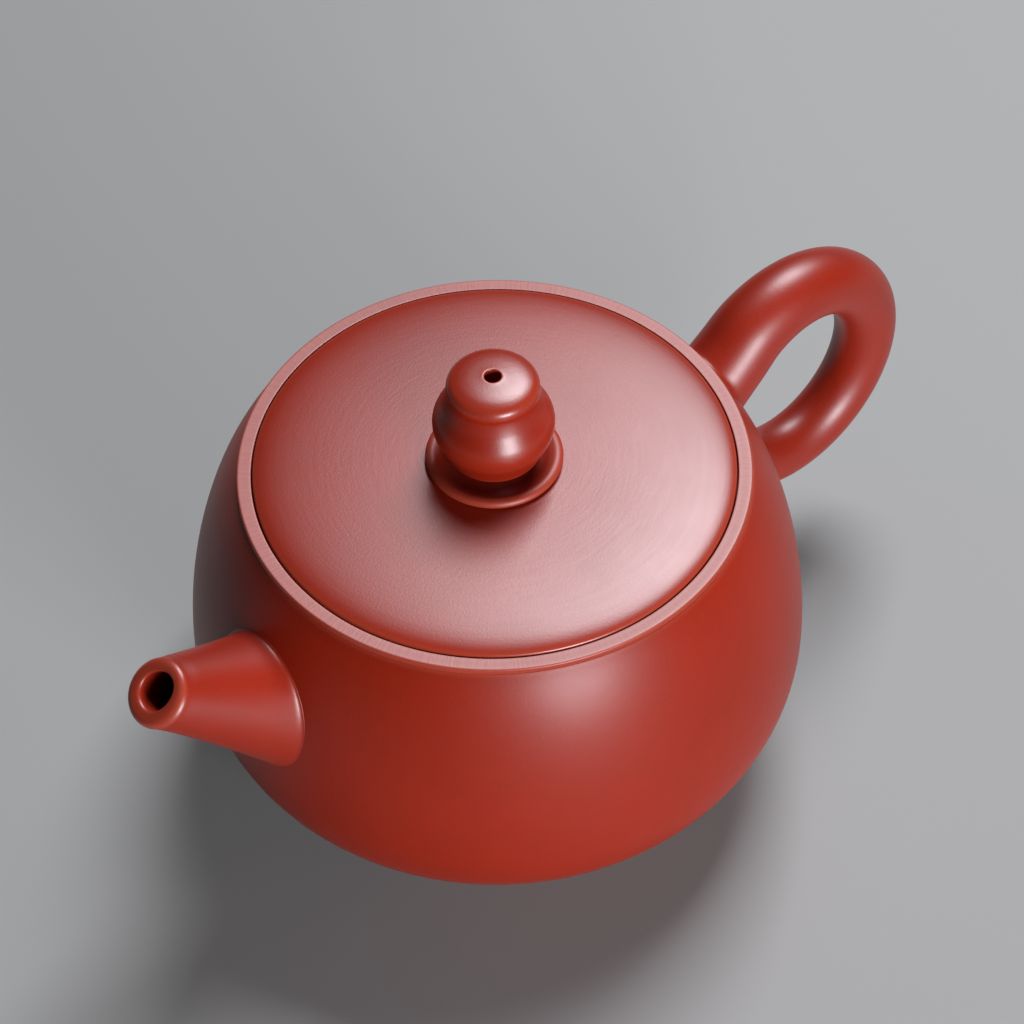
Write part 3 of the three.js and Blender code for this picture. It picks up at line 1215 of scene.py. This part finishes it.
    def _spout(self) -> bpy.types.Object:
        """Lofts the spout: up its outside, round the lip and down its bore.

        Returns:
            The closed tube, filleted onto the belly.
        """
        joint = SlipJoint(self.belly)
        outside = self._outside(joint)
        lip = self._lip()
        rings = np.concatenate([outside[::-1], lip, self._bore(joint)])
        rub = np.zeros(rings.shape[:2])
        first, count = len(outside), len(lip)
        swell = np.sin(np.linspace(0.4, math.pi, count))[:, None]
        rub[first : first + count] = swell * self.lip_rub
        return loft("spout_clay", rings, self.places, self.clays.limbs, rub, looped=True)

    def _strainer(self) -> bpy.types.Object:
        """Turns the dome and pierces it with rings of holes by a geometry tree.

        Returns:
            The pierced dome.
        """
        radius = self.bore_root - self.dome_slip
        inner = radius - self.dome_shell
        rise = self.dome_rise - self.dome_shell
        quarter = np.radians(np.linspace(0, 90, self.dome_steps))
        dome = [(radius * math.sin(a), self.dome_drop - self.dome_rise * math.cos(a)) for a in quarter]
        hollow = [(inner * math.sin(a), self.dome_drop - rise * math.cos(a)) for a in quarter[::-1]]
        outline = Outline([*dome, (radius, self.dome_rim), (inner, self.dome_rim), *hollow])
        clay = self.clays.hidden
        piece = self.wheel.turn("strainer_clay", outline, clay, 8.6, steps=72, wobble=0.03, centred=True)
        values = {
            "Hole Radius": self.hole_radius * MM,
            "Inner Ring": self.inner_ring * MM,
            "Inner Holes": self.inner_holes,
            "Outer Ring": self.outer_ring * MM,
            "Outer Holes": self.outer_holes,
            "Clay": clay,
        }
        self._piercing_tree().shape(piece, values)
        self._onto_slope(piece)
        return piece

    def _piercing_tree(self) -> ShapingTree:
        """Makes the tree that stands pins on two rings and the middle, and cuts them out.

        Returns:
            The finished tree.
        """
        sizes = {"Hole Radius": "Float", "Inner Ring": "Float", "Inner Holes": "Int"}
        sizes |= {"Outer Ring": "Float", "Outer Holes": "Int"}
        shaping = ShapingTree("pierced_dome", "Dome", sizes)
        add, given = shaping.add, shaping.given
        needle = {"Radius": given["Hole Radius"], "Depth": self.pin_length * MM}
        pin = add("GeometryNodeMeshCylinder", inputs={"Vertices": self.pin_sides, **needle})
        middle = add("GeometryNodeMeshLine", inputs={"Count": 1})
        rings = [
            add(
                "GeometryNodeMeshCircle",
                inputs={"Vertices": given[f"{ring} Holes"], "Radius": given[f"{ring} Ring"]},
            )
            for ring in ("Inner", "Outer")
        ]
        stands = add("GeometryNodeJoinGeometry")
        for stand in (middle, *rings):
            shaping.tree.links.new(stand.outputs[0], stands.inputs[0])
        pins = add("GeometryNodeInstanceOnPoints", inputs={"Points": stands, "Instance": pin})
        solid_pins = add("GeometryNodeRealizeInstances", inputs={"Geometry": pins})
        pierced = add(
            "GeometryNodeMeshBoolean",
            {"operation": "DIFFERENCE", "solver": "EXACT"},
            {"Mesh 1": given["Dome"], "Mesh 2": solid_pins},
        )
        shaping.finish(pierced)
        return shaping


@dataclass
class Handle:
    """The ring handle: a tapering roll of clay bent round and joined at both ends."""

    places: PotFrame
    clays: Clays
    belly: Outline
    reach: float = 56.9
    drop: float = 20.0
    half_width: float = 15.9
    half_height: float = 17.4
    tilt: float = 12.6
    start: float = 126.0
    end: float = -143.0
    upper_root: Point = (38.5, -13.5)
    lower_root: Point = (40.5, -29.5)
    root_radius: float = 6.15
    waist: float = 4.1
    tail_radius: float = 4.6
    around: int = 96
    steps: int = 190
    skin_steps: int = 100
    knots: int = 15
    knot_steps: int = 16

    def build(self) -> list[Piece]:
        """Makes the handle.

        Returns:
            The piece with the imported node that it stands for.
        """
        lines = self._lines(self._path())
        joint = SlipJoint(self.belly, up_the_tube=1.5, along_the_belly=0.7)
        upper = lines[:, self.steps // 2 :: -1]
        lower = lines[:, self.steps // 2 :]
        upper_middle, lower_middle = joint.middle(upper), joint.middle(lower)
        skins = []
        for up, down in zip(upper, lower):
            up_end, up_bend = joint.fillet(up, upper_middle)
            down_end, down_bend = joint.fillet(down, lower_middle)
            up_line = along(up, np.linspace(up_end, 0, self.skin_steps))
            down_line = along(down, np.linspace(0, down_end, self.skin_steps))
            skins.append(np.vstack([up_bend[::-1], up_line, down_line[1:], down_bend]))
        rings = np.array(skins).transpose(1, 0, 2)
        return [(loft("handle_clay", rings, self.places, self.clays.limbs), "handle")]

    def _path(self) -> np.ndarray:
        """Draws the middle of the roll from inside the shoulder round to inside the belly.

        Returns:
            Evenly spaced reach and height of each step.
        """
        rim = self.places.rim_height
        tilt = math.radians(self.tilt)
        knots = []
        for angle in np.radians(np.linspace(self.start, self.end, self.knots)):
            wide = self.half_width * math.cos(angle)
            tall = self.half_height * math.sin(angle)
            reach = self.reach + wide * math.cos(tilt) - tall * math.sin(tilt)
            knots.append((reach, rim - self.drop + wide * math.sin(tilt) + tall * math.cos(tilt)))
        upper = (self.upper_root[0], rim + self.upper_root[1])
        lower = (self.lower_root[0], rim + self.lower_root[1])
        line = np.array(spline([upper, *knots, lower], self.knot_steps))
        length = float(np.linalg.norm(np.diff(line, axis=0), axis=1).sum())
        return along(line, np.linspace(0, length, self.steps + 1))

    def _lines(self, path: np.ndarray) -> np.ndarray:
        """Puts the roll's section round its path.

        Args:
            path: Reach and height of each step.

        Returns:
            Lines along the roll, points and their x, y and z.
        """
        share = np.linspace(0, 1, len(path))
        radius = self.root_radius * (1 - share) ** 2
        radius += 2 * self.waist * share * (1 - share) + self.tail_radius * share**2
        step = np.gradient(path, axis=0)
        step /= np.linalg.norm(step, axis=1)[:, None]
        side = np.stack([-step[:, 1], step[:, 0]], axis=1)
        turn = np.linspace(0, FULL_TURN, self.around, endpoint=False)[:, None]
        in_plane = radius * np.cos(turn)
        x = path[:, 0] + in_plane * side[:, 0]
        z = path[:, 1] + in_plane * side[:, 1]
        return np.stack([x, radius * np.sin(turn), z], axis=-1)


@dataclass
class Lid:
    """The inset lid, its flange and its knob."""

    places: PotFrame
    wheel: TurningWheel
    clays: Clays
    radius: float = 34.25
    edge_rise: float = 0.33
    rounding: float = 0.45
    under_rounding: float = 0.3
    flange_radius: float = 29.6
    flange_width: float = 2.3
    flange_depth: float = 6.5
    flange_taper: float = 0.3
    flange_ease: float = 0.6
    vent: float = 1.2
    vent_ease: float = 0.15
    dish_radius: float = 9.75
    dish_height: float = 1.5
    knob_height: float = 17.2
    knob_radius: float = 8.6
    knob_seat: float = 0.6
    cap_radius: float = 6.55
    stem_radius: float = 4.6
    stem_height: float = 2.5

    def build(self) -> list[Piece]:
        """Makes the pieces.

        Returns:
            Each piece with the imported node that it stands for.
        """
        return [
            (self._plate(), "lid_plate"),
            (self._flange(), "lid_flange"),
            (self._dish(), "knob_dish"),
            (self._knob(), "knob"),
        ]

    def _plate(self) -> bpy.types.Object:
        """Makes the slightly domed plate with its rounded edge.

        Returns:
            The plate.
        """
        at, under = self.places, self.under_rounding
        edge = at.rim_height + self.edge_rise
        outline = Outline().start(self.vent, at.seat_height)
        outline.line(self.radius - under, at.seat_height)
        outline.arc((self.radius - under, at.seat_height + under), under, 270, 360, steps=4)
        outline.arc((self.radius - self.rounding, edge - self.rounding), self.rounding, 0, 62, steps=10)
        crown = (self.dish_radius - 0.9, at.lid_top)
        outline.curve((self.radius - 1.6, at.rim_height + 1.15), (27.0, at.lid_top), crown, 90)
        outline.line(self.vent, at.lid_top).line(self.vent, at.seat_height)
        return self.wheel.turn("lid_plate_clay", outline, self.clays.lid, 9.7, steps=288)

    def _flange(self) -> bpy.types.Object:
        """Makes the ring that keeps the lid in the mouth.

        Returns:
            The flange.
        """
        seat, ease = self.places.seat_height, self.flange_ease
        low = seat - self.flange_depth
        inner = self.flange_radius - self.flange_width
        outer = self.flange_radius - self.flange_taper - ease
        outline = Outline().start(inner, seat)
        outline.line(inner, low + ease)
        outline.arc((inner + ease, low + ease), ease, 180, 270, steps=5)
        outline.line(outer, low)
        outline.arc((outer, low + ease), ease, 270, 355, steps=5)
        outline.line(self.flange_radius, seat).close()
        return self.wheel.turn("lid_flange_clay", outline, self.clays.hidden, 10.8, steps=192)

    def _dish(self) -> bpy.types.Object:
        """Makes the small saucer under the knob.

        Returns:
            The saucer.
        """
        low, floor = self.places.lid_top, self.places.lid_top + self.knob_seat
        r, top = self.dish_radius, self.places.lid_top + self.dish_height
        outline = Outline(spacing=0.3).start(self.vent, low).line(r - 0.85, low)
        outside = ((r - 0.15, low + 0.35), (r, low + 0.8), (r - 0.3, top - 0.2))
        inside = ((r - 0.95, top), (r - 1.8, top - 0.22), (r - 2.8, top - 0.66), (r - 3.75, floor))
        outline.through(*outside, *inside)
        outline.line(self.vent, floor).close()
        return self.wheel.turn("knob_dish_clay", outline, self.clays.dish, 11.9, wobble=0.04)

    def _knob(self) -> bpy.types.Object:
        """Makes the bulb with its cut underside, tapering up to a slight waist and a domed cap.

        Returns:
            The knob.
        """
        low = self.places.lid_top
        seat, top = low + self.knob_seat, low + self.knob_height
        bulb, cap, hole = self.knob_radius, self.cap_radius, self.vent + self.vent_ease
        outline = Outline(spacing=0.4).start(self.vent, seat).line(self.stem_radius, seat)
        outline.line(self.stem_radius, low + self.stem_height)
        outline.arc((bulb - 2.1, low + 2.9), 0.3, -80, -10, steps=4)
        bulb_knots = (
            (bulb - 0.85, low + 5.0),
            (bulb - 0.15, low + 6.8),
            (bulb, low + 8.2),
            (bulb - 0.3, low + 9.6),
            (bulb - 1.55, low + 12.1),
        )
        cap_knots = (
            (cap - 0.07, low + 14.2),
            (cap, top - 2.2),
            (cap - 0.15, top - 1.45),
            (cap - 0.6, top - 0.9),
            (cap - 1.45, top - 0.5),
            (cap - 2.75, top - 0.22),
        )
        outline.through(*bulb_knots, *cap_knots, (hole, top))
        outline.arc((hole, top - self.vent_ease), self.vent_ease, 90, 180, steps=5)
        outline.close()
        return self.wheel.turn("knob_clay_piece", outline, self.clays.knob, 12.4)


# ---------------------------------------------------------------------------------------------
# The studio
# ---------------------------------------------------------------------------------------------


@dataclass(frozen=True)
class Softbox:
    """A lamp behind cloth, aimed at the pot. Its sizes are metres."""

    name: str
    bearing: float  # degrees round to the right of the camera
    elevation: float
    distance: float
    width: float
    height: float
    power: float
    colour: str

    def hang(self, target: Vector, camera_bearing: float) -> None:
        """Hangs the lamp.

        Args:
            target: Point that it is aimed at.
            camera_bearing: Azimuth of the camera, in degrees.
        """
        away = direction(camera_bearing + self.bearing, self.elevation)
        data = bpy.data.lights.new(self.name, "AREA")
        data.shape = "RECTANGLE"
        data.size = self.width
        data.size_y = self.height
        data.energy = self.power
        data.color = srgb(self.colour)[:3]
        lamp = bpy.data.objects.new(self.name, data)
        lamp.location = target + away * self.distance
        lamp.rotation_euler = (-away).to_track_quat("-Z", "Y").to_euler()
        bpy.context.scene.collection.objects.link(lamp)


@dataclass(frozen=True)
class Studio:
    """A plain pale floor, two softboxes and a camera that looks down on the pot."""

    places: PotFrame
    aim: tuple[float, float, float] = (-1.28, -5.41, -4.25)  # from the middle of the rim
    azimuth: float = -38.4
    elevation: float = 49.82
    roll: float = -0.92
    distance: float = 500.0
    lens: float = 124.4
    sensor: float = 36.0
    clip: tuple[float, float] = (0.01, 20.0)  # metres
    lamp_target: tuple[float, float, float] = (0, 0, 0.035)  # metres
    floor_half: float = 3.0  # metres
    floor_colour: str = "868583"
    floor_roughness: float = 0.7
    air_colour: str = "e8ecf2"
    air: float = 0.04
    lamps: tuple[Softbox, ...] = (
        Softbox("back_softbox", 156, 58, 0.9, 0.4, 0.4, 12.6, "f6f9ff"),
        Softbox("front_softbox", 27, 10, 0.8, 0.3, 0.34, 10.6, "f6f9ff"),
    )

    def build(self) -> None:
        """Sets up floor, light and camera."""
        self._floor()
        for lamp in self.lamps:
            lamp.hang(Vector(self.lamp_target), self.azimuth)
        world = bpy.data.worlds.new("studio_air")
        world.use_nodes = True
        background = world.node_tree.nodes["Background"]
        background.inputs["Color"].default_value = srgb(self.air_colour)
        background.inputs["Strength"].default_value = self.air
        scene = bpy.context.scene
        scene.world = world
        scene.view_settings.view_transform = "Standard"
        scene.camera = self._camera()

    def _floor(self) -> None:
        """Lays the floor, which isn't part of the object."""
        half = self.floor_half
        corners = [(-half, -half, 0), (half, -half, 0), (half, half, 0), (-half, half, 0)]
        floor = mesh_object("floor", corners, [(0, 1, 2, 3)])
        paper = bpy.data.materials.new("floor_paper")
        paper.use_nodes = True
        shader = paper.node_tree.nodes["Principled BSDF"]
        shader.inputs["Base Color"].default_value = srgb(self.floor_colour)
        shader.inputs["Roughness"].default_value = self.floor_roughness
        floor.data.materials.append(paper)

    def _camera(self) -> bpy.types.Object:
        """Places the camera.

        Returns:
            The camera.
        """
        back = direction(self.azimuth, self.elevation)
        data = bpy.data.cameras.new("camera")
        data.lens = self.lens
        data.sensor_width = self.sensor
        data.clip_start, data.clip_end = self.clip
        camera = bpy.data.objects.new("camera", data)
        x, y, z = self.aim
        target = Vector(self.places.place(x, y, self.places.rim_height + z))
        camera.location = target + back * self.distance * MM
        upright = (-back).to_track_quat("-Z", "Y").to_matrix().to_4x4()
        turned = upright @ Matrix.Rotation(math.radians(self.roll), 4, "Z")
        camera.rotation_euler = turned.to_euler()
        bpy.context.scene.collection.objects.link(camera)
        return camera


# ---------------------------------------------------------------------------------------------
# Putting it together
# ---------------------------------------------------------------------------------------------


def declare(pieces: Iterable[Piece], body: str) -> None:
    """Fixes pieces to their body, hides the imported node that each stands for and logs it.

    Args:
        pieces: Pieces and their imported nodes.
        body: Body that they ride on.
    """
    for piece, node in pieces:
        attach(piece, body)
        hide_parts(node)
        log.info("%s for %s: %d faces", piece.name, node, len(piece.data.polygons))


def main() -> None:
    """Builds the pot, its lid and the studio in order."""
    logging.basicConfig(level=logging.INFO, format="%(name)s: %(message)s")
    places = PotFrame.from_cad()
    wheel = TurningWheel(places)
    clays = Clays.mixed(places.axis)

    belly = Belly(places, wheel, clays)
    belly_pieces = belly.build()
    spout = Spout(places, wheel, clays, belly.outer())
    spout.cut_way(belly_pieces[0][0])
    declare(belly_pieces, "pot")
    declare(spout.build(), "pot")
    declare(Handle(places, clays, belly.outer()).build(), "pot")
    declare(Lid(places, wheel, clays).build(), "lid")
    Studio(places).build()


if __name__ == "__main__":
    main()
